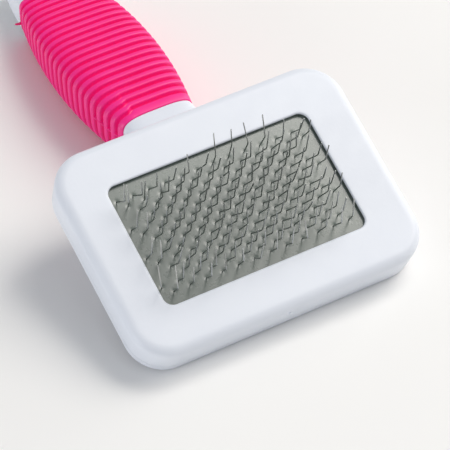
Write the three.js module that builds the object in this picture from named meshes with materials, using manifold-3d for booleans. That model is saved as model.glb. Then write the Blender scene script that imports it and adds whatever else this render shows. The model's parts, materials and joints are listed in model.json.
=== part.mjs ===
// Slicker brush for pets: a white moulded body and face frame, a rubber pin pad with
// rows of bent wire staples, a foam cushion, and a ribbed soft grip.
// Millimetres. The head is drawn flat, pins up, with the window's middle on the face as
// zero, +Z out of the face and the handle behind it along +Y. At the end the whole brush
// is tipped until it rests on its own front edge and grip.
import * as THREE from 'three';
import { mergeVertices } from 'three/addons/utils/BufferGeometryUtils.js';
import Module from 'manifold-3d';

const wasm = await Module();
wasm.setup();

// ---------------------------------------------------------------- driving sizes
// Clearances and joins
const fitGap = 0.3;            // between neighbouring pieces
const cutOver = 1.0;           // how far a cutter runs past a face
const weldIn = 0.5;            // how far a wall or post is sunk into its base

// Window in the face
const windowHalfX = 30.0;
const windowHalfY = 18.25;
const windowCorner = 2.7;
const lipRadius = 0.4;

// Face frame and back tray, clamped together
const headDepth = 12.0;        // face to back
const headCorner = 11.0;
const headShiftX = 0.7;        // the rim's middle lies this far right of the window's
const headDraft = 0.6;         // the back is this much smaller all round than the face
const faceEdgeRadius = 2.8;
const backEdgeRadius = 1.5;
const facePlate = 1.1;
const frameWall = 2.25;
const partingDepth = 8.6;      // frame wall runs down to here
const trayFloor = 2.3;
const lipWall = 1.2;
const lipRise = 2.1;
const locatorWall = 1.2;       // wall round the pad and cushion

// Weld pegs on the tray and their sockets on the frame
const pegRadius = 0.8;
const socketWall = 0.7;
const socketRoom = 0.6;        // free space on each side of a socket
const socketClear = 0.8;       // socket foot to tray floor
const pegShort = 1.8;          // peg tip to the back of the face plate
const pegSpots = [[1, 0], [-1, 0], [0.55, 1], [-0.55, 1], [0.55, -1], [-0.55, -1]];

// Pin pad and its backing
const padMargin = 2.4;         // pad reaches this far under the frame
const padSheet = 1.8;
const padCorner = 4.0;
const backingSheet = 0.7;

// Wire staples
const wireRadius = 0.175;
const pinColumns = 12;         // legs along a full row, two to a staple
const pinRows = 14;
const pinMarginX = 2.5725;     // from the window's side to a centred field's nearest leg
const pinMarginY = 3.95;       // from its front and rear to the first and last row
const pinShiftX = -0.9;
const pinShiftY = -0.05;
const kneeRun = 2.2;           // from foot to knee, toward the front
const kneeRise = 7.7;
const tipRun = 1.1;            // from knee to tip, back toward the handle
const tipRise = 6.3;

// Handle axis, seen from the side. It starts at the sleeve's end next to the head.
const handleDroop = 24.1;      // degrees below the face
const neckRun = 7.3;           // from the head's rear wall to that start
const neckDrop = 10.3;         // from the head's back down to it
const neckFlare = 5.0;         // extra half width where the neck runs out under the head
const neckRootPower = 5;       // roundness of its root
const shoulderPower = 3.6;     // squareness of the section

// Grip sleeve: half width, rise above and depth below the axis, each on a long arc
const gripWide = 14.8;
const gripTop = 6.8;
const gripBottom = 12.9;
const wideAt = 32.3;           // distance along the axis where each is largest
const topAt = 25.3;
const bottomAt = 30.3;
const wideArc = 132;
const topArc = 294;
const bottomArc = 417;
const gripWall = 2.2;
const gripEdge = 0.25;         // chamfer on the sleeve's ends
const ribPitch = 2.9;
const grooveCount = 21;
const grooveDeep = 0.9;
const grooveHalf = 0.62;
const neckBand = 3.8;          // sleeve end to the middle of the first groove
const tailBand = 2.8;          // and from the last groove to its other end

// Tail of the handle and its hanging hole
const tailLength = 19.7;
const tailWide = 10.8;
const tailTop = 4.1;
const tailBottom = 10.8;
const tailTaper = 0.18;        // share of the width lost by the end
const tailThin = 0.5;          // share of the depth lost by the end
const tailPower = 4;           // roundness of the end
const hangFromEnd = 10.5;
const hangHalfX = 4.6;
const hangRadius = 3.2;

// ---------------------------------------------------------------- sizes that follow
const padHalfX = windowHalfX + padMargin;
const padHalfY = windowHalfY + padMargin;
const padTop = -facePlate - fitGap;
const backingTop = padTop - padSheet - fitGap;
const foamTop = backingTop - backingSheet - fitGap;
const floorTop = trayFloor - headDepth;

const socketRadius = pegRadius + fitGap + socketWall;
const locatorOut = padMargin + fitGap + locatorWall;
const lipInset = frameWall + fitGap;
const rim = locatorOut + 2 * (socketRoom + socketRadius) + lipWall + lipInset + headDraft;
const headHalfX = windowHalfX + rim;
const headHalfY = windowHalfY + rim;

const pinPitch = 2 * (windowHalfX - pinMarginX) / (pinColumns - 0.5);   // rows are half a pitch apart
const rowPitch = 2 * (windowHalfY - pinMarginY) / (pinRows - 1);

const droop = THREE.MathUtils.degToRad(handleDroop);
const gripLength = neckBand + (grooveCount - 1) * ribPitch + tailBand;
const nearlySquare = THREE.MathUtils.degToRad(88);   // rounded ends stop just short of a point

// ---------------------------------------------------------------- solid helpers
function toSolid(geometry) {
  const bare = geometry.clone();
  bare.deleteAttribute('normal');
  bare.deleteAttribute('uv');
  const merged = mergeVertices(bare, 1e-4);
  const mesh = new wasm.Mesh({
    numProp: 3,
    vertProperties: new Float32Array(merged.attributes.position.array),
    triVerts: new Uint32Array(merged.index.array),
  });
  return new wasm.Manifold(mesh);
}

function toGeometry(solid) {
  const mesh = solid.getMesh();
  const geometry = new THREE.BufferGeometry();
  const points = new Float32Array(mesh.vertProperties);
  geometry.setAttribute('position', new THREE.BufferAttribute(points, 3));
  geometry.setIndex(Array.from(mesh.triVerts));
  return geometry;
}

function spread(from, to, pieces) {
  return Array.from({ length: pieces + 1 }, (_, i) => from + (to - from) * i / pieces);
}

// Closed skin through rings of equal point count, with a fan over each end.
function loft(rings) {
  const count = rings[0].length;
  const points = rings.flat().flatMap((p) => [p.x, p.y, p.z]);
  const faces = [];
  for (let k = 0; k + 1 < rings.length; k += 1) {
    for (let i = 0; i < count; i += 1) {
      const a = k * count + i;
      const b = k * count + (i + 1) % count;
      faces.push(a, b, b + count, a, b + count, a + count);
    }
  }
  const top = (rings.length - 1) * count;
  for (let i = 1; i + 1 < count; i += 1) {
    faces.push(0, i + 1, i);
    faces.push(top, top + i, top + i + 1);
  }
  const geometry = new THREE.BufferGeometry();
  geometry.setAttribute('position', new THREE.Float32BufferAttribute(points, 3));
  geometry.setIndex(faces);
  return toSolid(geometry);
}

// Rounded rectangle ring at height z, counter-clockwise.
function roundRing(halfX, halfY, radius, z, middle = [0, 0], steps = 6) {
  const corners = [[1, 1], [-1, 1], [-1, -1], [1, -1]];
  return corners.flatMap(([sideX, sideY], quarter) => (
    spread(0, 1, steps).map((share) => {
      const turn = (quarter + share) * Math.PI / 2;
      const x = sideX * (halfX - radius) + radius * Math.cos(turn);
      const y = sideY * (halfY - radius) + radius * Math.sin(turn);
      return new THREE.Vector3(x + middle[0], y + middle[1], z);
    })
  ));
}

// The head's outline, moved in by an inset. It narrows evenly from face to back.
function headRing(inset, z) {
  const drawnIn = inset - headDraft * z / headDepth;
  return roundRing(
    headHalfX - drawnIn, headHalfY - drawnIn, headCorner - drawnIn, z, [headShiftX, 0]);
}

function headBlock(inset, low, high) {
  return loft([headRing(inset, low), headRing(inset, high)]);
}

// The pad's outline, moved out by an extra.
function padBlock(extra, low, high) {
  return loft([low, high].map((z) => (
    roundRing(padHalfX + extra, padHalfY + extra, padCorner + extra, z, [0, 0], 4))));
}

function post(radius, low, high, x, y, sides) {
  const geometry = new THREE.CylinderGeometry(radius, radius, high - low, sides);
  geometry.rotateX(Math.PI / 2);
  geometry.translate(x, y, (high + low) / 2);
  return toSolid(geometry);
}

// ---------------------------------------------------------------- handle sections
const axisFrom = new THREE.Vector3(
  0, headHalfY + neckRun, -headDepth - neckDrop);
const axisRun = new THREE.Vector3(0, Math.cos(droop), -Math.sin(droop));
const axisUp = new THREE.Vector3(0, Math.sin(droop), Math.cos(droop));

// Point at x across, s along the axis and w above it.
function onHandle(x, s, w) {
  return axisFrom.clone()
    .addScaledVector(axisRun, s)
    .addScaledVector(axisUp, w)
    .add(new THREE.Vector3(x, 0, 0));
}

// Squared-off oval section, widest at the height named waist.
function handleRing(s, halfX, top, bottom, waist = 0, power = shoulderPower) {
  const steps = 28;
  const bend = 2 / power;
  return Array.from({ length: steps }, (_, i) => {
    const turn = (i + 0.5) * 2 * Math.PI / steps;
    const across = Math.sign(Math.cos(turn)) * Math.abs(Math.cos(turn)) ** bend;
    const up = Math.sign(Math.sin(turn)) * Math.abs(Math.sin(turn)) ** bend;
    const rise = up >= 0 ? top - waist : waist - bottom;
    return onHandle(-halfX * across, s, waist + rise * up);
  });
}

const onArc = (largest, s, at, radius) => largest - (s - at) ** 2 / (2 * radius);
const gripHalfAt = (s) => onArc(gripWide, s, wideAt, wideArc);
const gripTopAt = (s) => onArc(gripTop, s, topAt, topArc);
const gripBottomAt = (s) => onArc(gripBottom, s, bottomAt, bottomArc);

function gripRing(s, inset) {
  return handleRing(s, gripHalfAt(s) - inset, gripTopAt(s) - inset, inset - gripBottomAt(s));
}

// ---------------------------------------------------------------- face frame
// Weld pegs stand midway in the channel between the locator wall and the tray's lip.
function pegPlaces() {
  const channel = locatorOut + socketRoom + socketRadius;
  return pegSpots.map(([u, v]) => [
    u * (windowHalfX + channel) + headShiftX / 2 * Math.abs(u),
    v * (windowHalfY + channel),
  ]);
}

const pegTip = -facePlate - pegShort;

function makeFaceFrame() {
  const arcSteps = 4;
  const edge = spread(0, Math.PI / 2, arcSteps).map((turn) => headRing(
    faceEdgeRadius * (1 - Math.cos(turn)), faceEdgeRadius * (Math.sin(turn) - 1)));
  let frame = loft([headRing(0, -partingDepth), ...edge]);
  frame = frame.subtract(headBlock(frameWall, -headDepth, -facePlate));

  const windowAt = (grow, z) => roundRing(
    windowHalfX + grow, windowHalfY + grow, windowCorner + grow, z);
  frame = frame.subtract(loft([
    windowAt(0, -facePlate - cutOver),
    windowAt(0, -lipRadius),
    windowAt(lipRadius * 0.3, -lipRadius * 0.3),
    windowAt(lipRadius, 0),
    windowAt(lipRadius, cutOver),
  ]));

  const foot = floorTop + socketClear;
  for (const [x, y] of pegPlaces()) {
    frame = frame.add(post(socketRadius, foot, -facePlate + weldIn, x, y, 12));
    frame = frame.subtract(
      post(pegRadius + fitGap, foot - cutOver, pegTip + fitGap, x, y, 12));
  }
  return toGeometry(frame);
}

// ---------------------------------------------------------------- pin pad, pins, foam
// A four-sided rod with the same section area as a round one.
const squareReach = (radius) => radius * Math.sqrt(Math.PI / 2);

const rowY = (row) => (row - (pinRows - 1) / 2) * rowPitch + pinShiftY;

// Foot of every leg in a row. Neighbouring rows stand half a leg's pitch apart, and every
// second pair of rows goes without its outer legs, so the staples lie like bricks.
function legFeet(row) {
  const stagger = (row % 2 === 0 ? 1 : -1) * pinPitch / 4;
  const left = Math.floor(row / 2) % 2;
  return Array.from({ length: pinColumns - 2 * left }, (_, i) => [
    (left + i - (pinColumns - 1) / 2) * pinPitch + stagger + pinShiftX, rowY(row)]);
}

function makePinPad() {
  const low = padTop - padSheet;
  const holes = [];
  for (let row = 0; row < pinRows; row += 1) {
    for (const [x, y] of legFeet(row)) {
      const reach = squareReach(wireRadius + fitGap);
      holes.push(post(reach, low - cutOver, padTop + cutOver, x, y, 4));
    }
  }
  return toGeometry(padBlock(0, low, padTop).subtract(wasm.Manifold.union(holes)));
}

function makeFoam() {
  return toGeometry(padBlock(0, floorTop + fitGap, foamTop));
}

// Wire swept along a path in a plane square to X, turning at each point.
function wireAlong(path) {
  const reach = squareReach(wireRadius);
  const across = new THREE.Vector3(1, 0, 0);
  return loft(path.map((point, k) => {
    const before = path[Math.max(k - 1, 0)];
    const after = path[Math.min(k + 1, path.length - 1)];
    const along = after.clone().sub(before).normalize();
    const up = new THREE.Vector3().crossVectors(along, across);
    return [[1, 0], [0, 1], [-1, 0], [0, -1]].map(([u, v]) => point.clone()
      .addScaledVector(across, reach * u)
      .addScaledVector(up, reach * v));
  }));
}

// One row of U-shaped staples. Their crowns are locked in the row's strip of backing.
function makePinRow(row) {
  const low = row === 0 ? -padHalfY - cutOver : rowY(row) - (rowPitch - fitGap) / 2;
  const high = row === pinRows - 1 ? padHalfY + cutOver : rowY(row) + (rowPitch - fitGap) / 2;
  const cut = new THREE.BoxGeometry(2 * (padHalfX + cutOver), high - low, 2 * headDepth);
  cut.translate(0, (high + low) / 2, 0);
  const strip = padBlock(0, backingTop - backingSheet, backingTop).intersect(toSolid(cut));

  const crown = backingTop - backingSheet / 2;
  const legs = legFeet(row).map(([x, y]) => wireAlong([
    new THREE.Vector3(x, y, crown),
    new THREE.Vector3(x, y, padTop),
    new THREE.Vector3(x, y - kneeRun, padTop + kneeRise),
    new THREE.Vector3(x, y - kneeRun + tipRun, padTop + kneeRise + tipRise),
  ]));
  return toGeometry(wasm.Manifold.union([strip, ...legs]));
}

// ---------------------------------------------------------------- body
// Tray, neck, handle core and tail are one moulding.
function makeTray() {
  const parting = -partingDepth - fitGap;
  const arcSteps = 3;
  const edge = spread(0, Math.PI / 2, arcSteps).map((turn) => headRing(
    backEdgeRadius * (1 - Math.sin(turn)),
    backEdgeRadius * (1 - Math.cos(turn)) - headDepth));
  let tray = loft([...edge, headRing(0, parting)]);
  tray = tray.add(headBlock(lipInset, parting - weldIn, parting + lipRise));
  tray = tray.subtract(headBlock(lipInset + lipWall, floorTop, 0));

  let locator = padBlock(fitGap + locatorWall, floorTop - weldIn, padTop);
  locator = locator.subtract(padBlock(fitGap, floorTop - cutOver, 0));
  tray = tray.add(locator);
  for (const [x, y] of pegPlaces()) {
    tray = tray.add(post(pegRadius, floorTop - weldIn, pegTip, x, y, 12));
  }
  return tray;
}

// The neck leaves the sleeve flush, spreads and runs out under the middle of the head.
function makeNeck() {
  const root = -axisFrom.y / Math.cos(droop);
  const rearWall = -neckRun / Math.cos(droop);
  const backAt = (s) => (neckDrop + s * Math.sin(droop)) / Math.cos(droop);
  const sink = trayFloor / 2;
  return loft(spread(nearlySquare, 0, 12).map((turn) => {
    const away = Math.sin(turn);
    const s = root * away;
    const under = Math.max((s - rearWall) / (root - rearWall), 0);
    const round = Math.sqrt(1 - away ** neckRootPower);
    const halfX = (gripHalfAt(0) + neckFlare * under ** 2) * round;
    const top = Math.min(gripTopAt(0), backAt(s) + sink);
    const bottom = THREE.MathUtils.lerp(-gripBottomAt(0), backAt(root) + sink / 2, away);
    const power = THREE.MathUtils.lerp(shoulderPower, 2, away ** 2);
    return handleRing(s, halfX, top, bottom, (top + bottom) / 2 * under, power);
  }));
}

function makeTail() {
  const middle = (tailTop - tailBottom) / 2;
  const half = (tailTop + tailBottom) / 2;
  let tail = loft(spread(0, nearlySquare, 8).map((turn) => {
    const share = Math.sin(turn) ** (2 / tailPower);
    const left = Math.cos(turn) ** (2 / tailPower);
    const halfX = tailWide * (1 - tailTaper * share) * left;
    const rise = half * (1 - tailThin * share) * left;
    const s = gripLength + tailLength * share;
    return handleRing(s, halfX, middle + rise, middle - rise, middle);
  }));
  const hangAt = gripLength + tailLength - hangFromEnd;
  const through = [-gripBottom - cutOver, gripTop + cutOver];
  tail = tail.subtract(loft(through.map((w) => (
    roundRing(hangHalfX, hangRadius, hangRadius, 0, [0, hangAt], 5)
      .map((p) => onHandle(p.x, p.y, w))
  ))));
  return tail;
}

function makeBody() {
  const tray = makeTray();
  const stations = [-weldIn, ...spread(0, gripLength, 7), gripLength + weldIn];
  const core = loft(stations.map((s) => gripRing(s, gripWall + fitGap)));
  // The neck may fill the tray's floor but nothing above it.
  const roomAbove = headBlock(lipInset + lipWall, floorTop, cutOver).subtract(tray);
  const handle = makeNeck().subtract(roomAbove).add(core).add(makeTail());
  return toGeometry(tray.add(handle));
}

// ---------------------------------------------------------------- grip sleeve
function makeGrip() {
  const low = fitGap;
  const high = gripLength - fitGap;
  const outer = [gripRing(low, gripEdge), gripRing(low + gripEdge, 0)];
  for (let i = 0; i < grooveCount; i += 1) {
    const s = neckBand + i * ribPitch;
    outer.push(gripRing(s - grooveHalf, 0));
    outer.push(gripRing(s, grooveDeep));
    outer.push(gripRing(s + grooveHalf, 0));
  }
  outer.push(gripRing(high - gripEdge, 0));
  outer.push(gripRing(high, gripEdge));
  const stations = [-cutOver, ...spread(0, gripLength, 7), gripLength + cutOver];
  const bore = loft(stations.map((s) => gripRing(s, gripWall)));
  return toGeometry(loft(outer).subtract(bore));
}

// ---------------------------------------------------------------- assembly
const whitePlastic = { color: '#e9edf2', roughness: 0.35, metalness: 0 };
const greyRubber = { color: '#8f9c8b', roughness: 0.6, metalness: 0 };
const paleFoam = { color: '#cfccc0', roughness: 0.95, metalness: 0 };
const steelWire = { color: '#6d716f', roughness: 0.35, metalness: 1 };
const pinkRubber = { color: '#f7266f', roughness: 0.6, metalness: 0 };

const body = makeBody();
const grip = makeGrip();
const pieces = [
  ['handle_body', body, whitePlastic],
  ['face_frame', makeFaceFrame(), whitePlastic],
  ['pin_pad', makePinPad(), greyRubber],
  ['foam_cushion', makeFoam(), paleFoam],
  ['grip_sleeve', grip, pinkRubber],
];
for (let row = 0; row < pinRows; row += 1) {
  const name = `pin_row_${String(row + 1).padStart(2, '0')}`;
  pieces.push([name, makePinRow(row), steelWire]);
}

// Lowest height that a piece reaches once it is tipped about X.
function lowest(geometry, angle) {
  const spots = geometry.attributes.position;
  let low = Infinity;
  for (let i = 0; i < spots.count; i += 1) {
    low = Math.min(low, spots.getY(i) * Math.sin(angle) + spots.getZ(i) * Math.cos(angle));
  }
  return low;
}

// The tip angle at which the tray's front edge and the sleeve's belly are level.
function restAngle() {
  let flat = 0;
  let steep = 2 * droop;
  for (let i = 0; i < 40; i += 1) {
    const angle = (flat + steep) / 2;
    if (lowest(grip, angle) < lowest(body, angle)) flat = angle;
    else steep = angle;
  }
  return flat;
}

const tip = new THREE.Matrix4().makeRotationX(restAngle());
const bounds = new THREE.Box3();
for (const [, geometry] of pieces) {
  geometry.applyMatrix4(tip);
  geometry.computeBoundingBox();
  bounds.union(geometry.boundingBox);
}
const middle = bounds.getCenter(new THREE.Vector3());

const brush = new THREE.Group();
brush.name = 'slicker_brush';
for (const [name, geometry, look] of pieces) {
  geometry.translate(-middle.x, -middle.y, -bounds.min.z);
  geometry.computeVertexNormals();
  const mesh = new THREE.Mesh(geometry, new THREE.MeshStandardMaterial(look));
  mesh.name = name;
  brush.add(mesh);
}

export default brush;
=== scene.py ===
import json
import math
import random

import bpy
import numpy as np
from mathutils import Matrix, Vector


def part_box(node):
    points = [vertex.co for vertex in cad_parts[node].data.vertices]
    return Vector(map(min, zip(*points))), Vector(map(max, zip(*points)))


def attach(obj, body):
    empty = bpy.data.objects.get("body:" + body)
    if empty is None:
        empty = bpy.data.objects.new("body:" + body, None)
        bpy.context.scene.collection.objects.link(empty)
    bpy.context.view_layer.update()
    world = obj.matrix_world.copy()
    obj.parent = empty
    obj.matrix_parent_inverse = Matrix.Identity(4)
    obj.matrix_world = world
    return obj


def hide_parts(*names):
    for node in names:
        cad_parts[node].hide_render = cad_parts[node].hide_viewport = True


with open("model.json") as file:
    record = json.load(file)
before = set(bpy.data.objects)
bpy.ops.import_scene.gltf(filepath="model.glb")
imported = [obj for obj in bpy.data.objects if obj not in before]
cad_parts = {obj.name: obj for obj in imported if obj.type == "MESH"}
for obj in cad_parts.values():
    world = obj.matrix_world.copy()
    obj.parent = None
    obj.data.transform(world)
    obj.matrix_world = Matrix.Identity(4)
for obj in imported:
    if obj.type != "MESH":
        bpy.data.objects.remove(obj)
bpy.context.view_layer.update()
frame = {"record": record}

record = frame["record"]
mm = 0.001

# ---------------------------------------------------------------- sizes, in millimetres
# On the head, x runs along it, y toward the handle and z out of its face. On the handle,
# x runs across it, s along it from the sleeve's neck end, and w up.
gap = 0.3

window_half = (30.0, 18.25)
window_corner = 2.7
lip_radius = 0.5
head_half = (43.05, 31.3)
head_shift = 0.7
head_draft = 0.6
head_corner = 11.0
head_depth = 12.0
face_edge = 2.8
back_edge = 1.5
face_plate = 1.1
frame_wall = 2.25
flat_land = 0.6                # flat ring beside each rounded edge
rebate_from, rebate_deep, rebate_wide = 0.4, 0.65, 0.3
gate_radius, gate_depth, gate_round = 0.55, 0.6, 0.06
gate_sunk = 0.1
gate_level = -3.6
parting = 8.6
hairline = 0.12
tray_floor = 2.3
lip_wall = 1.2
lip_rise = 2.1
pad_margin = 2.4
pad_half = (window_half[0] + pad_margin, window_half[1] + pad_margin)
pad_cells = (260, 166)
pad_sheet = 1.8
pad_top = -face_plate - gap
backing, backing_clear = 0.7, 2
cushion_clear = 0.2
cushion_round = 1.1
dimple_wide = 0.8
dimple_deep = 0.09

droop = math.radians(24.1)
neck_run = 7.3
neck_drop = 10.3
neck_flare = 5.0
neck_root_power = 5
shoulder = 3.6
grip_wide, grip_top, grip_bottom = 14.8, 6.8, 12.9
wide_at, top_at, bottom_at = 32.3, 25.3, 30.3
wide_arc, top_arc, bottom_arc = 132, 294, 417
grip_wall = 2.2
rib_pitch = 2.9
groove_count = 21
groove_deep = 1.5
neck_band, tail_band = 3.8, 2.8
grip_length = neck_band + (groove_count - 1) * rib_pitch + tail_band
neck_step, neck_step_run = 0.15, 4
core_slope = 0.05
round_steps = 10
around_handle = 132

# The sleeve's rounded end: distance from the end, and depth below the surface.
sleeve_end = [(0, 0.35), (0.12, 0.1), (0.4, 0)]

# One rib from groove to groove: place in pitches from the crown, and depth as a share.
rib_shape = [(-0.5, 1.0), (-0.38, 1.0), (-0.33, 0.92), (-0.3, 0.7), (-0.28, 0.4),
             (-0.255, 0.15), (-0.21, 0.04), (-0.14, 0.0), (0.14, 0.0), (0.21, 0.04),
             (0.255, 0.15), (0.28, 0.4), (0.3, 0.7), (0.33, 0.92), (0.38, 1.0)]

seam_x = -6.5                  # where the two halves of the mould met on top
seam_soft = 0.6
seam_slip = 1.3                # how far the left half's ribs sit toward the head there
seam_length = 15
seam_power = 1.2
seam_start = 2.4
seam_low, seam_rise = -6, 3

# The tab of flash by the tail, from root to tip: x, w and share of its width.
tab_rings = [(-10.4, -4.4, 1.6), (-11.7, -4.3, 1.2), (-12.8, -4.0, 0.6)]
tab_half_wide, tab_half_thick = 0.35, 0.14
tab_from_end = 0.5

# The thread of flash on each side by the neck: depth below its edge, and w.
thread_shape = [(0.9, -0.75), (0, -0.95), (0, -1.15), (0.9, -1.35)]
thread_from, thread_to = 1.0, 13.0
thread_proud = 0.1

tail_length = 19.7
tail_wide, tail_top, tail_bottom = 10.8, 4.1, 10.8
tail_taper = 0.18
tail_thin = 0.5
tail_power = 4
hang_from_end = 10.5
hang_half_x = 4.6
hang_radius = 3.2
hang_cut = 20                  # how far the hole's cutter reaches, up and down
nearly_square = math.radians(88)

wire_radius = 0.175
pin_columns = 12
pin_rows = 14
pin_pitch = 4.77
row_pitch = 2.2
pin_shift = (-0.9, -0.05)
foot_sunk = 0.15
knee_forward, knee_up = -2.3, 7.45
tip_back, tip_up = 1.0, 5.85
lean_out = 1.1                 # of the front row and the left legs
lean_less = 0.6                # share of it that the second row and the right legs have
stretch_out = 0.3
knee_by_side = (0.25, 0.3, 0.4)
tip_by_side = 0.28
knee_vary = (0.25, 0.3, 0.38)
tip_vary = (0.25, 0.42, 0.42)
knee_bend, foot_bend = 0.6, 0.3
tip_cut, tip_size = 0.2, 0.4

# ---------------------------------------------------------------- where the head and handle are
back_axis = record["mounts"][0]["axis"]
tilt = math.atan2(back_axis[1], -back_axis[2])
pad_low, pad_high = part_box("pin_pad")
pad_middle = (Vector(pad_low) + Vector(pad_high)) / 2
turn_head = Matrix.Rotation(tilt, 4, "X")
above_pad = turn_head @ Vector((0, 0, (pad_sheet / 2 - pad_top) * mm))
head_stand = Matrix.Translation(pad_middle + above_pad) @ turn_head
head_place = head_stand @ Matrix.Scale(mm, 4)
axis_from = Vector((0, head_half[1] + neck_run, -head_depth - neck_drop))
handle_place = head_place @ Matrix.Translation(axis_from) @ Matrix.Rotation(-droop, 4, "X")


# ---------------------------------------------------------------- modelling helpers
def deselect():
    if bpy.context.object and bpy.context.object.mode != "OBJECT":
        bpy.ops.object.mode_set(mode="OBJECT")
    bpy.ops.object.select_all(action="DESELECT")


def pick(*pieces):
    """Selects these pieces alone. The last one is the active one."""
    deselect()
    for piece in pieces:
        piece.select_set(True)
    bpy.context.view_layer.objects.active = pieces[-1]


def settle(piece, place):
    """Puts the piece where it belongs, with its place in its mesh."""
    pick(piece)
    piece.matrix_world = place
    bpy.ops.object.transform_apply(location=True, rotation=True, scale=True)
    return piece


def select_ring(piece, level):
    """Selects the ring of a straight tube that stands at one level."""
    bpy.ops.mesh.select_all(action="DESELECT")
    bpy.ops.object.mode_set(mode="OBJECT")
    for vertex in piece.data.vertices:
        vertex.select = abs(vertex.co.z - level) < 0.1
    bpy.ops.object.mode_set(mode="EDIT")


def drawn_through(name, rings, closed=False):
    """A straight tube is extruded ring by ring, closed, and each ring is set to its section."""
    count = len(rings[0])
    deselect()
    bpy.ops.mesh.primitive_circle_add(vertices=count, radius=1, location=(0, 0, 0))
    piece = bpy.context.object
    piece.name = name
    piece.data.name = name
    bpy.ops.object.mode_set(mode="EDIT")
    bpy.ops.mesh.select_mode(type="VERT")
    bpy.ops.mesh.select_all(action="SELECT")
    for _ in rings[1:]:
        bpy.ops.mesh.extrude_region_move(TRANSFORM_OT_translate={"value": (0, 0, 1)})
    if not closed:
        bpy.ops.mesh.edge_face_add()
        select_ring(piece, 0)
        bpy.ops.mesh.edge_face_add()
    bpy.ops.object.mode_set(mode="OBJECT")
    points = np.empty(len(piece.data.vertices) * 3)
    piece.data.vertices.foreach_get("co", points)
    points = points.reshape(-1, 3)
    level = np.rint(points[:, 2]).astype(int)
    around = np.arctan2(points[:, 1], points[:, 0]) * count / (2 * math.pi)
    slot = np.rint(around).astype(int) % count
    sections = np.array([[tuple(p) for p in ring] for ring in rings])
    piece.data.vertices.foreach_set("co", sections[level, slot].ravel())
    piece.data.update()
    if closed:
        first = len(rings) - 1
        bpy.ops.object.mode_set(mode="EDIT")
        bpy.ops.mesh.select_all(action="DESELECT")
        bpy.ops.object.mode_set(mode="OBJECT")
        for vertex, ring in zip(piece.data.vertices, level):
            vertex.select = bool(ring in (0, first))
        bpy.ops.object.mode_set(mode="EDIT")
        bpy.ops.mesh.bridge_edge_loops()
    else:
        bpy.ops.object.mode_set(mode="EDIT")
    bpy.ops.mesh.select_all(action="SELECT")
    bpy.ops.mesh.normals_make_consistent(inside=False)
    bpy.ops.object.mode_set(mode="OBJECT")
    return piece


def smooth(piece, degrees=35):
    pick(piece)
    bpy.ops.object.shade_smooth_by_angle(angle=math.radians(degrees))
    return piece


def join(piece, other):
    """Adds the other's mesh to the piece's, as it is."""
    pick(other, piece)
    bpy.ops.object.join()


def combine(piece, other, how):
    """Fuses the piece with the other or cuts it by it. The other is used up."""
    pick(piece)
    cut = piece.modifiers.new("cut", "BOOLEAN")
    cut.operation = how
    cut.solver = "EXACT"
    cut.object = other
    bpy.ops.object.modifier_apply(modifier=cut.name)
    mesh = other.data
    bpy.data.objects.remove(other)
    bpy.data.meshes.remove(mesh)
    return piece


def spread(low, high, pieces):
    return [low + (high - low) * i / pieces for i in range(pieces + 1)]


def round_ring(half_x, half_y, radius, z, middle=(0.0, 0.0)):
    """Rounded rectangle at height z."""
    ring = []
    for quarter, (side_x, side_y) in enumerate([(1, 1), (-1, 1), (-1, -1), (1, -1)]):
        for share in spread(0, 1, round_steps):
            turn = (quarter + share) * math.pi / 2
            x = side_x * (half_x - radius) + radius * math.cos(turn)
            y = side_y * (half_y - radius) + radius * math.sin(turn)
            ring.append((x + middle[0], y + middle[1], z))
    return ring


def head_ring(inset, z):
    """The head's outline, moved in by an inset; it narrows a little from face to back."""
    inset -= head_draft * z / head_depth
    return round_ring(head_half[0] - inset, head_half[1] - inset, head_corner - inset, z,
                      (head_shift, 0))


# ---------------------------------------------------------------- handle sections
def handle_ring(s, half_x, top, bottom, waist=0.0, power=shoulder):
    """Squared-off oval across the handle, widest at the waist."""
    square = 2 / power
    ring = []
    for i in range(around_handle):
        turn = (i + 0.5) * 2 * math.pi / around_handle
        across = math.copysign(abs(math.cos(turn)) ** square, math.cos(turn))
        up = math.copysign(abs(math.sin(turn)) ** square, math.sin(turn))
        rise = top - waist if up >= 0 else waist - bottom
        ring.append((-half_x * across, s, waist + rise * up))
    return ring


def on_arc(largest, s, at, radius):
    return largest - (s - at) ** 2 / (2 * radius)


def grip_ring(s, inset):
    half_x = on_arc(grip_wide, s, wide_at, wide_arc) - inset
    top = on_arc(grip_top, s, top_at, top_arc) - inset
    bottom = inset - on_arc(grip_bottom, s, bottom_at, bottom_arc)
    return handle_ring(s, half_x, top, bottom)


# ---------------------------------------------------------------- pieces
def make_face_frame():
    edge = [head_ring(face_edge * (1 - math.cos(turn)), face_edge * (math.sin(turn) - 1))
            for turn in spread(0, math.pi / 2, 8)]

    def window(grow, z):
        return round_ring(window_half[0] + grow, window_half[1] + grow, window_corner + grow, z)

    lip = [window(lip_radius * (1 - math.sin(turn)), -lip_radius * (1 - math.cos(turn)))
           for turn in spread(0, math.pi / 2, 5)]
    rings = [head_ring(0, -parting), *edge, head_ring(face_edge + flat_land, 0)]
    rings += [window(lip_radius + flat_land, 0), *lip, window(0, -rebate_from)]
    rings += [window(rebate_wide, -rebate_deep), window(rebate_wide, -face_plate)]
    rings += [head_ring(frame_wall, -face_plate), head_ring(frame_wall, -parting)]
    shell = drawn_through("face_frame_shell", rings, closed=True)
    deselect()
    bpy.ops.mesh.primitive_cylinder_add(vertices=20, radius=gate_radius, depth=gate_depth)
    gate = bpy.context.object
    bpy.ops.object.mode_set(mode="EDIT")
    bpy.ops.mesh.select_all(action="SELECT")
    bpy.ops.mesh.bevel(offset=gate_round, segments=2, affect="EDGES")
    bpy.ops.object.mode_set(mode="OBJECT")
    on_front = Matrix.Translation((0, gate_sunk - head_half[1], gate_level))
    settle(gate, on_front @ Matrix.Rotation(math.pi / 2, 4, "X"))
    combine(shell, gate, "UNION")
    return smooth(settle(shell, head_place))


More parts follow.
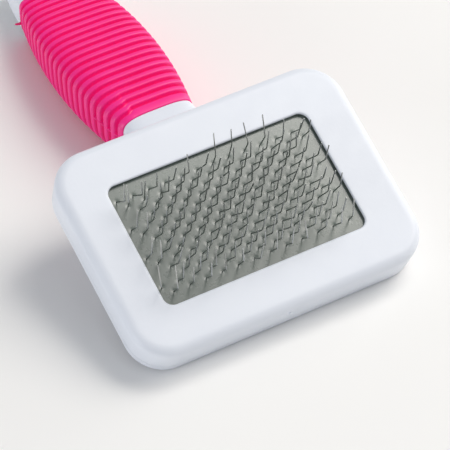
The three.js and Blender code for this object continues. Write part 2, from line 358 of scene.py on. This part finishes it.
def make_handle():
    lip_inset = frame_wall + gap
    floor_top = tray_floor - head_depth
    edge = [head_ring(back_edge * (1 - math.sin(turn)),
                      back_edge * (1 - math.cos(turn)) - head_depth)
            for turn in spread(0, math.pi / 2, 6)]
    rings = [head_ring(back_edge + flat_land, -head_depth), *edge]
    rings += [head_ring(0, -parting - hairline)]
    rings += [head_ring(lip_inset, -parting - hairline), head_ring(lip_inset, -parting + lip_rise)]
    rings += [head_ring(lip_inset + lip_wall, -parting + lip_rise)]
    rings += [head_ring(lip_inset + lip_wall, floor_top)]
    body = drawn_through("handle_moulding", rings)

    root = -axis_from.y / math.cos(droop)
    rear_wall = -neck_run / math.cos(droop)
    sink = tray_floor / 2

    def back_at(s):
        return (neck_drop + s * math.sin(droop)) / math.cos(droop)

    rings = []
    for turn in spread(nearly_square, 0, 28):
        away = math.sin(turn)
        s = root * away
        under = max((s - rear_wall) / (root - rear_wall), 0)
        half_x = on_arc(grip_wide, 0, wide_at, wide_arc) + neck_flare * under ** 2
        half_x *= math.sqrt(1 - away ** neck_root_power)
        step_in = neck_step * max(1 + s / neck_step_run, 0)
        half_x -= step_in
        top = min(on_arc(grip_top, 0, top_at, top_arc) - step_in, back_at(s) + sink)
        low = step_in - on_arc(grip_bottom, 0, bottom_at, bottom_arc)
        bottom = low + (back_at(root) + sink / 2 - low) * away
        power = shoulder + (2 - shoulder) * away ** 2
        rings.append(handle_ring(s, half_x, top, bottom, (top + bottom) / 2 * under, power))
    rings.append(grip_ring(gap - core_slope, grip_wall + gap))
    rings += [grip_ring(s, grip_wall + gap) for s in spread(2, grip_length - 2, 12)]
    rings.append(grip_ring(grip_length - gap + core_slope, grip_wall + gap))
    middle = (tail_top - tail_bottom) / 2
    half = (tail_top + tail_bottom) / 2
    for turn in spread(0, nearly_square, 20):
        share = math.sin(turn) ** (2 / tail_power)
        left = math.cos(turn) ** (2 / tail_power)
        rise = half * (1 - tail_thin * share) * left
        half_x = tail_wide * (1 - tail_taper * share) * left
        rings.append(handle_ring(grip_length + tail_length * share, half_x,
                                 middle + rise, middle - rise, middle))
    handle = drawn_through("handle_core", rings)
    hang_at = grip_length + tail_length - hang_from_end
    hole = drawn_through("hang_hole", [
        round_ring(hang_half_x, hang_radius, hang_radius, w, (0, hang_at))
        for w in (-hang_cut, hang_cut)])
    combine(handle, hole, "DIFFERENCE")
    settle(body, head_place)
    settle(handle, handle_place)
    combine(body, handle, "UNION")
    return smooth(body)


def seam_fade(x, s, w):
    """How much of the seam's slip the sleeve has at this place."""
    if x >= seam_x + seam_soft or w <= seam_low:
        return 0.0
    fade = max(1 - s / seam_length, 0) ** seam_power
    fade *= min((w - seam_low) / seam_rise, 1) * min(s / seam_start, 1)
    return fade * min((seam_x + seam_soft - x) / (2 * seam_soft), 1)


def add_flash(grip, tip):
    """The small tab of flash by the tail, and the thread on each side by the neck."""
    join(grip, drawn_through("flash_tab", [
        [(x, tip + along * tab_half_wide * part, w + up * tab_half_thick)
         for along, up in ((-1, -1), (1, -1), (1, 1), (-1, 1))]
        for x, w, part in tab_rings]))
    for side in (-1, 1):
        thread = []
        for s in spread(thread_from, thread_to, 16):
            x = side * (on_arc(grip_wide, s, wide_at, wide_arc) + thread_proud)
            thread.append([(x - side * depth, s, w) for depth, w in thread_shape])
        join(grip, drawn_through("mould_flash", thread))


def make_grip():
    end = grip_length - gap
    outer = [grip_ring(gap + along, inset) for along, inset in sleeve_end]
    for i in range(groove_count + 1):
        crown = neck_band + (i - 0.5) * rib_pitch
        for place, depth in rib_shape:
            before_sleeve = i == 0 and place < 0
            past_sleeve = i == groove_count and place > 0
            if not before_sleeve and not past_sleeve:
                outer.append(grip_ring(crown + place * rib_pitch, depth * groove_deep))
    outer += [grip_ring(end - along, inset) for along, inset in reversed(sleeve_end)]
    inner = [grip_ring(s, grip_wall) for s in spread(end, gap, 10)]
    rings = [[(x, s - seam_slip * seam_fade(x, s, w), w) for x, s, w in ring]
             for ring in outer + inner]
    grip = drawn_through("grip_ribbed", rings, closed=True)
    add_flash(grip, end - tab_from_end)
    return smooth(settle(grip, handle_place), 50)


# ---------------------------------------------------------------- pad and pins
def leg_numbers(row):
    """Every second pair of rows goes without its outer legs."""
    outer = row // 2 % 2
    return range(outer, pin_columns - outer)


def row_y(row):
    return (row - (pin_rows - 1) / 2) * row_pitch + pin_shift[1]


def leg_feet(row):
    stagger = (1 if row % 2 == 0 else -1) * pin_pitch / 4
    return [((i - (pin_columns - 1) / 2) * pin_pitch + stagger + pin_shift[0], row_y(row))
            for i in leg_numbers(row)]


def make_pad():
    deselect()
    bpy.ops.mesh.primitive_grid_add(x_subdivisions=pad_cells[0], y_subdivisions=pad_cells[1],
                                    size=1)
    pad = bpy.context.object
    pad.name = "pin_pad_sheet"
    pad.data.name = "pin_pad_sheet"
    points = np.empty(len(pad.data.vertices) * 3)
    pad.data.vertices.foreach_get("co", points)
    points = points.reshape(-1, 3)
    points[:, 0] *= 2 * pad_half[0]
    points[:, 1] *= 2 * pad_half[1]
    depth = np.zeros(len(points))
    for row in range(pin_rows):
        for x, y in leg_feet(row):
            near = np.hypot(points[:, 0] - x, points[:, 1] - y)
            depth += dimple_deep * np.exp(-(near / dimple_wide) ** 2 * 2)
    points[:, 2] = pad_top - depth
    pad.data.vertices.foreach_set("co", points.ravel())
    bpy.ops.object.mode_set(mode="EDIT")
    bpy.ops.mesh.select_all(action="SELECT")
    bpy.ops.mesh.extrude_region_move(TRANSFORM_OT_translate={"value": (0, 0, -pad_sheet)})
    bpy.ops.mesh.select_all(action="SELECT")
    bpy.ops.mesh.normals_make_consistent(inside=False)
    bpy.ops.object.mode_set(mode="OBJECT")
    return smooth(settle(pad, head_place), 60)


def bend(before, corner, after, radius, steps=3):
    """Points of a small round bend where two straight runs of wire meet."""
    into = (before - corner).normalized()
    out = (after - corner).normalized()
    start = corner + into * radius
    end = corner + out * radius
    points = []
    for share in spread(0, 1, steps):
        points.append(start.lerp(corner, share).lerp(corner.lerp(end, share), share))
    return points


# Legs that handling has bent well away from the rest, as row and leg counted from the
# front left: from foot to knee, then from knee to tip.
bent = {
    (1, 1): ((-1.2, -2.1, 7.1), (0, 3.8, 6.7)),
    (1, 2): ((-1.2, -1.9, 7.0), (0, 1.9, 4.9)),
    (1, 10): ((-0.3, -1.9, 7.6), (0, 1.8, 6.3)),
    (1, 12): ((-1.6, -1.8, 7.2), (0, 2.1, 6.3)),
    (2, 1): ((-2.3, -2.0, 6.3), (0, 3.8, 5.6)),
    (2, 12): ((-1.2, -2.0, 7.3), (0, 0.9, 6.7)),
    (5, 1): ((-1.2, -1.8, 7.2), (0, 2.7, 5.7)),
    (5, 12): ((-0.8, -1.8, 7.6), (0, 1.2, 5.6)),
    (6, 1): ((-0.8, -2.0, 7.9), (0, 2.1, 6.3)),
    (6, 12): ((0, -2.2, 6.7), (0, 0.4, 7.0)),
    (9, 1): ((-0.8, -1.8, 7.6), (0, 2.3, 5.3)),
    (9, 12): ((-0.6, -2.2, 7.3), (0, 0.9, 6.8)),
    (10, 1): ((-0.6, -2.3, 7.1), (0, 2.1, 6.3)),
    (10, 12): ((0.3, -2.7, 8.0), (0, 0.6, 6.0)),
    (12, 2): ((-0.5, -2.2, 6.8), (0, 0.8, 4.8)),
    (13, 1): ((-1.8, -1.8, 6.9), (0, 2.8, 4.9)),
    (13, 2): ((-1.5, -1.0, 6.3), (0, 1.4, 5.2)),
    (13, 12): ((-0.8, -2.0, 7.2), (0, 1.0, 5.2)),
    (14, 1): ((0, -3.0, 6.2), (0, 2.4, 5.7)),
    (14, 2): ((0, -3.4, 6.9), (0, 2.0, 4.6)),
    (14, 3): ((0, -2.6, 6.6), (0, 1.8, 4.8)),
    (14, 4): ((0, -2.7, 7.0), (0, 0.6, 6.2)),
    (14, 5): ((0, -2.4, 7.1), (0, 3.1, 4.9)),
    (14, 6): ((0, -2.4, 8.0), (0, 0.6, 5.5)),
    (14, 7): ((0, 0, 4.9), (0, 3.7, 6.4)),
    (14, 8): ((0, 0.6, 6.7), (0, 2.3, 4.8)),
    (14, 9): ((0, -0.2, 5.3), (-0.6, 3.8, 5.6)),
    (14, 10): ((0, -0.6, 6.2), (-0.3, 3.6, 6.5)),
    (14, 11): ((0, -2.1, 5.5), (0, 2.1, 6.2)),
    (14, 12): ((0, -2.5, 6.8), (0, 0.2, 5.7)),
}


def leg_points(row, leg, x, y, rng):
    """Foot, knee and tip. Legs at the front and sides lean out, and all vary a little."""
    side = x / window_half[0]
    if row == 0 or leg == 0:
        outer = 1.0
    elif row == 1 or leg == pin_columns - 1:
        outer = lean_less
    else:
        outer = 0.0
    first = Vector((
        knee_by_side[0] * side - lean_out * outer + rng.gauss(0, knee_vary[0]),
        knee_forward - knee_by_side[1] * side + rng.gauss(0, knee_vary[1]),
        knee_up + knee_by_side[2] * side + rng.gauss(0, knee_vary[2])))
    second = Vector((
        tip_by_side * side + rng.gauss(0, tip_vary[0]),
        tip_back + lean_out * outer + rng.gauss(0, tip_vary[1]),
        tip_up + stretch_out * outer + rng.gauss(0, tip_vary[2])))
    if (row + 1, leg + 1) in bent:
        first, second = (Vector(run) for run in bent[(row + 1, leg + 1)])
    foot = Vector((x, y, pad_top - foot_sunk))
    return foot, foot + first, foot + first + second


def backing_strip(row):
    """The row's share of the sheet that its crowns are locked in."""
    middle = pad_top - pad_sheet - gap - backing / 2
    deselect()
    bpy.ops.mesh.primitive_cube_add(size=1, location=(0, row_y(row), middle))
    strip = bpy.context.object
    bpy.ops.object.mode_set(mode="EDIT")
    bpy.ops.mesh.select_all(action="SELECT")
    long = 2 * pad_half[0] - backing_clear
    bpy.ops.transform.resize(value=(long, row_pitch - gap, backing))
    bpy.ops.object.mode_set(mode="OBJECT")
    bpy.ops.object.transform_apply(location=True, rotation=True, scale=True)
    return strip


def make_pin_row(row):
    rng = random.Random(row * 7 + 3)
    crown = pad_top - pad_sheet - gap - backing / 2
    curve = bpy.data.curves.new(f"pins_row_{row + 1:02d}", "CURVE")
    curve.dimensions = "3D"
    curve.bevel_depth = wire_radius
    curve.bevel_resolution = 1
    curve.use_fill_caps = True
    legs = list(zip(leg_numbers(row), leg_feet(row)))
    for (number, left), (next_number, right) in zip(legs[0::2], legs[1::2]):
        foot, elbow, end = leg_points(row, number, *left, rng)
        foot2, elbow2, end2 = leg_points(row, next_number, *right, rng)
        under = Vector((left[0], left[1], crown))
        under2 = Vector((right[0], right[1], crown))
        path = [end, end + (elbow - end).normalized() * tip_cut]
        path += bend(end, elbow, foot, knee_bend)
        path += bend(elbow, foot, under, foot_bend, 2)
        path += bend(foot, under, under2, foot_bend, 2)
        path += bend(under, under2, foot2, foot_bend, 2)
        path += bend(under2, foot2, elbow2, foot_bend, 2)
        path += bend(foot2, elbow2, end2, knee_bend)
        path += [end2 + (elbow2 - end2).normalized() * tip_cut, end2]
        spline = curve.splines.new("POLY")
        spline.points.add(len(path) - 1)
        for point, place in zip(spline.points, path):
            point.co = (*place, 1)
        spline.points[0].radius = spline.points[-1].radius = tip_size
    piece = bpy.data.objects.new(curve.name, curve)
    bpy.context.collection.objects.link(piece)
    pick(piece)
    bpy.ops.object.convert(target="MESH")
    piece = bpy.context.object
    join(piece, backing_strip(row))
    return smooth(settle(piece, head_place), 50)


def make_cushion():
    """A block of foam, softly rounded, that fills the room under the pad."""
    high = pad_top - pad_sheet - 2 * gap - backing
    low = tray_floor - head_depth + gap
    deselect()
    bpy.ops.mesh.primitive_cube_add(size=1, location=(0, 0, (high + low) / 2))
    foam_block = bpy.context.object
    foam_block.name = "foam_block"
    foam_block.data.name = "foam_block"
    bpy.ops.object.mode_set(mode="EDIT")
    bpy.ops.mesh.select_all(action="SELECT")
    bpy.ops.transform.resize(value=(2 * pad_half[0] - cushion_clear,
                                    2 * pad_half[1] - cushion_clear, high - low))
    bpy.ops.mesh.bevel(offset=cushion_round, segments=4, affect="EDGES")
    bpy.ops.mesh.select_all(action="SELECT")
    bpy.ops.mesh.subdivide(number_cuts=2, smoothness=0)
    bpy.ops.object.mode_set(mode="OBJECT")
    bpy.ops.object.transform_apply(location=True, rotation=True, scale=True)
    return smooth(settle(foam_block, head_place), 50)


# ---------------------------------------------------------------- finishes
def new_finish(name):
    finish = bpy.data.materials.new(name)
    finish.use_nodes = True
    nodes = finish.node_tree.nodes
    shader = next(node for node in nodes if node.type == "BSDF_PRINCIPLED")
    place = nodes.new("ShaderNodeTexCoord")
    return finish, finish.node_tree, shader, place.outputs["Object"]


def noise(tree, place, scale, detail=4.0, roughness=0.5):
    node = tree.nodes.new("ShaderNodeTexNoise")
    node.inputs["Scale"].default_value = scale
    node.inputs["Detail"].default_value = detail
    node.inputs["Roughness"].default_value = roughness
    tree.links.new(place, node.inputs["Vector"])
    return node.outputs["Fac"]


def ramp(tree, value, low, high, dark, light):
    node = tree.nodes.new("ShaderNodeValToRGB")
    node.color_ramp.elements[0].position = low
    node.color_ramp.elements[1].position = high
    node.color_ramp.elements[0].color = (*dark, 1)
    node.color_ramp.elements[1].color = (*light, 1)
    tree.links.new(value, node.inputs["Fac"])
    return node.outputs["Color"]


def bump(tree, value, shader, strength, distance):
    node = tree.nodes.new("ShaderNodeBump")
    node.inputs["Strength"].default_value = strength
    node.inputs["Distance"].default_value = distance
    tree.links.new(value, node.inputs["Height"])
    tree.links.new(node.outputs["Normal"], shader.inputs["Normal"])


def mottle(tree, value, socket, dark, light, low=0.3, high=0.7):
    """Lets a socket wander between two tones, as a noise does."""
    tree.links.new(ramp(tree, value, low, high, dark, light), socket)


def mottle_rough(tree, value, shader, least, most):
    mottle(tree, value, shader.inputs["Roughness"], (least,) * 3, (most,) * 3)


def white_plastic():
    finish, tree, shader, place = new_finish("white_plastic")
    mottle(tree, noise(tree, place, 60, 3), shader.inputs["Base Color"],
           (0.775, 0.81, 0.88), (0.79, 0.825, 0.89))
    mottle_rough(tree, noise(tree, place, 220, 4), shader, 0.34, 0.42)
    bump(tree, noise(tree, place, 900, 3), shader, 0.08, 0.0002)
    return finish


def pink_rubber():
    finish, tree, shader, place = new_finish("pink_rubber")
    mottle(tree, noise(tree, place, 90, 4), shader.inputs["Base Color"],
           (0.975, 0.006, 0.235), (0.995, 0.010, 0.275))
    mottle_rough(tree, noise(tree, place, 300, 4), shader, 0.42, 0.52)
    shader.inputs["Specular IOR Level"].default_value = 0.7
    bump(tree, noise(tree, place, 1400, 4), shader, 0.12, 0.0002)
    return finish


def grey_rubber():
    finish, tree, shader, place = new_finish("pad_rubber")
    mottle(tree, noise(tree, place, 150, 6, 0.65), shader.inputs["Base Color"],
           (0.108, 0.136, 0.116), (0.128, 0.154, 0.134))
    mottle_rough(tree, noise(tree, place, 500, 4), shader, 0.26, 0.31)
    shader.inputs["Specular IOR Level"].default_value = 1.0
    bump(tree, noise(tree, place, 2600, 2), shader, 0.06, 0.0001)
    return finish


def steel_wire():
    finish, tree, shader, place = new_finish("steel_wire")
    mottle(tree, noise(tree, place, 400, 3), shader.inputs["Base Color"],
           (0.40, 0.41, 0.40), (0.50, 0.51, 0.50))
    shader.inputs["Metallic"].default_value = 1.0
    mottle_rough(tree, noise(tree, place, 700, 3), shader, 0.24, 0.34)
    return finish


def pale_foam():
    finish, tree, shader, place = new_finish("foam")
    mottle(tree, noise(tree, place, 800, 5), shader.inputs["Base Color"],
           (0.55, 0.54, 0.47), (0.65, 0.63, 0.56))
    shader.inputs["Roughness"].default_value = 0.95
    return finish


def wear(piece, finish):
    piece.data.materials.clear()
    piece.data.materials.append(finish)
    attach(piece, "root")


# ---------------------------------------------------------------- assembly
white = white_plastic()
pink = pink_rubber()
rubber = grey_rubber()
wire = steel_wire()
foam = pale_foam()

shell = make_face_frame()
wear(shell, white)
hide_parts("face_frame")

handle = make_handle()
wear(handle, white)
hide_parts("handle_body")

grip = make_grip()
wear(grip, pink)
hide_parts("grip_sleeve")

pad = make_pad()
wear(pad, rubber)
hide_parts("pin_pad")

for row in range(pin_rows):
    pins = make_pin_row(row)
    wear(pins, wire)
    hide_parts(f"pin_row_{row + 1:02d}")

cushion = make_cushion()
wear(cushion, foam)
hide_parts("foam_cushion")


# ---------------------------------------------------------------- table, light and camera
lens_length, lens_width = 224, 36
view_swing = math.radians(-47.27)
view_rise = math.radians(62.80)
view_roll = math.radians(21.86)
view_centre = (-5.53, -3.39, 0)        # on the head's face, in millimetres
view_distance = 0.72934


def make_table():
    deselect()
    bpy.ops.mesh.primitive_plane_add(size=6, location=(0, 0, 0))
    table = bpy.context.object
    table.name = "table"
    finish, tree, shader, place = new_finish("table_card")
    mottle(tree, noise(tree, place, 6, 2), shader.inputs["Base Color"],
           (0.92, 0.915, 0.90), (0.93, 0.925, 0.91), 0.2, 0.8)
    shader.inputs["Roughness"].default_value = 0.8
    table.data.materials.append(finish)


def make_light(name, watts, place, size, colour):
    """A round lamp that looks at the brush."""
    lamp = bpy.data.lights.new(name, "AREA")
    lamp.energy = watts
    lamp.color = colour
    lamp.shape = "DISK"
    lamp.size = size
    light = bpy.data.objects.new(name, lamp)
    bpy.context.collection.objects.link(light)
    light.location = place
    light.rotation_euler = (-place).to_track_quat("-Z", "Y").to_euler()


def from_sky(azimuth, elevation, distance):
    """A place seen from the brush at this compass angle from +X and this height."""
    turn = math.radians(azimuth)
    rise = math.radians(elevation)
    return Vector((math.cos(turn) * math.cos(rise), math.sin(turn) * math.cos(rise),
                   math.sin(rise))) * distance


def make_camera():
    lens = bpy.data.cameras.new("camera")
    lens.lens = lens_length
    lens.sensor_width = lens_width
    lens.clip_start = 0.01
    camera = bpy.data.objects.new("camera", lens)
    bpy.context.collection.objects.link(camera)
    out = Vector((math.sin(view_swing) * math.cos(view_rise),
                  -math.cos(view_swing) * math.cos(view_rise), math.sin(view_rise)))
    stand = Matrix.Translation(Vector(view_centre) * mm + out * view_distance)
    look = out.to_track_quat("Z", "Y").to_matrix().to_4x4()
    roll = Matrix.Rotation(view_roll, 4, "Z")
    camera.matrix_world = head_stand @ stand @ look @ roll
    bpy.context.scene.camera = camera


make_table()
world = bpy.data.worlds.new("studio")
world.use_nodes = True
world.node_tree.nodes["Background"].inputs["Color"].default_value = (0.95, 0.985, 1.05, 1)
world.node_tree.nodes["Background"].inputs["Strength"].default_value = 0.39
bpy.context.scene.world = world
make_light("key", 33.2, from_sky(-7, 47.5, 2.4), 1.8, (1.0, 0.955, 0.89))
make_light("sheen", 2.4, from_sky(14, 65, 1.25), 0.45, (1.0, 0.98, 0.95))
make_light("right_fill", 7.4, from_sky(14, 18, 2.0), 0.9, (1.0, 0.98, 0.95))
make_light("left_fill", 6.6, from_sky(187, 11, 1.5), 0.65, (0.97, 0.98, 1.0))
make_camera()
bpy.context.scene.view_settings.view_transform = "Standard"
